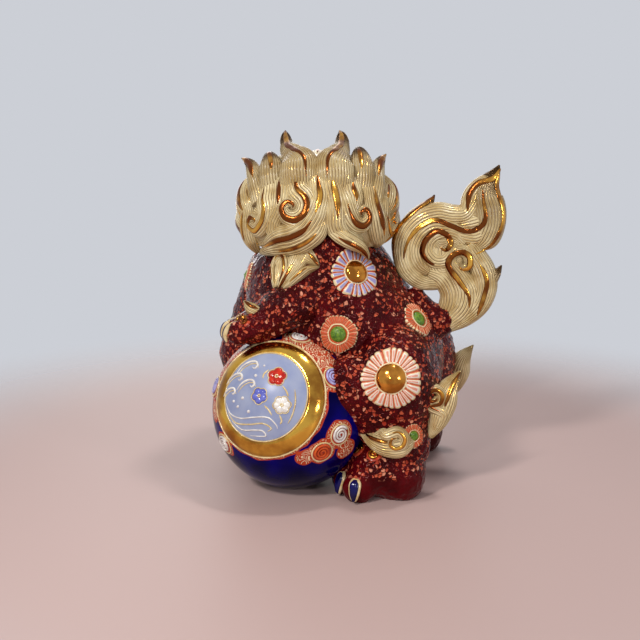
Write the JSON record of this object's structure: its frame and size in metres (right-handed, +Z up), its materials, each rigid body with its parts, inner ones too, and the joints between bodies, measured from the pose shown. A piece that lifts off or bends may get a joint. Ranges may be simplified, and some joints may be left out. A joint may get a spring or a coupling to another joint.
{
  "type": "lion-dog figurine",
  "caption": "Glazed porcelain guardian lion-dog, head turned back over its side, one forepaw on a brocade ball, with flame mane, plume tail and raised rosettes.",
  "frame": {"origin": "on the floor plane, under the middle of the whole figurine's bounding box", "axes": "+Z up; the body faces -X, the tail rises at +X, the ball stands at -Y and the face is turned to +Y"},
  "size_m": [0.2618, 0.2125, 0.3003],
  "materials": {
    "cobalt_glaze": "deep cobalt glaze, wet gloss",
    "gold_lustre": "bright gold lustre fired over glaze",
    "panel_glaze": "pale periwinkle glaze with enamel waves and blossoms",
    "white_glaze": "white enamel, gloss",
    "petal_glaze": "coral ground with raised pale enamel petals",
    "green_glaze": "green enamel, gloss",
    "red_glaze": "iron red enamel, gloss",
    "maroon_glaze": "maroon glaze with orange speckles and raised pebbling, wet gloss",
    "cream_glaze": "cream glaze with fine gold hair lines and gold strokes"
  },
  "bodies": {
    "root": {"ball": "cobalt_glaze", "medallion_ring": "gold_lustre", "medallion_panel": "panel_glaze", "ball_studs": "white_glaze", "body": "maroon_glaze", "left_haunch": "maroon_glaze", "right_haunch": "maroon_glaze", "left_hind_foot": "maroon_glaze", "right_hind_foot": "maroon_glaze", "left_foreleg": "maroon_glaze", "right_foreleg": "maroon_glaze", "left_hind_claws": "cobalt_glaze", "right_hind_claws": "cobalt_glaze", "left_fore_claws": "cobalt_glaze", "right_fore_claws": "cobalt_glaze", "knuckle_snails": "gold_lustre", "head": "maroon_glaze", "lower_jaw": "maroon_glaze", "tongue": "red_glaze", "upper_teeth": "white_glaze", "lower_teeth": "white_glaze", "nose": "gold_lustre", "eyes": "white_glaze", "eyebrows": "cream_glaze", "left_ear": "maroon_glaze", "right_ear": "maroon_glaze", "beard": "cream_glaze", "mane_cap": "cream_glaze", "left_crown_flame": "cream_glaze", "right_crown_flame": "cream_glaze", "left_temple_flames": "cream_glaze", "right_temple_flames": "cream_glaze", "left_side_curls": "cream_glaze", "right_side_curls": "cream_glaze", "left_nape_lock": "cream_glaze", "right_nape_lock": "cream_glaze", "shoulder_tuft": "cream_glaze", "forelock": "cream_glaze", "tail_root": "maroon_glaze", "tail_plume": "cream_glaze", "tail_tongue": "cream_glaze", "tail_barbs": "cream_glaze", "left_hock_tuft": "cream_glaze", "right_hock_tuft": "cream_glaze", "left_ankle_tuft": "cream_glaze", "right_ankle_tuft": "cream_glaze", "elbow_tuft": "cream_glaze", "left_rosettes": "petal_glaze", "right_rosettes": "petal_glaze", "chest_medal": "petal_glaze", "gold_bosses": "gold_lustre", "green_bosses": "green_glaze"}
  },
  "joints": []
}
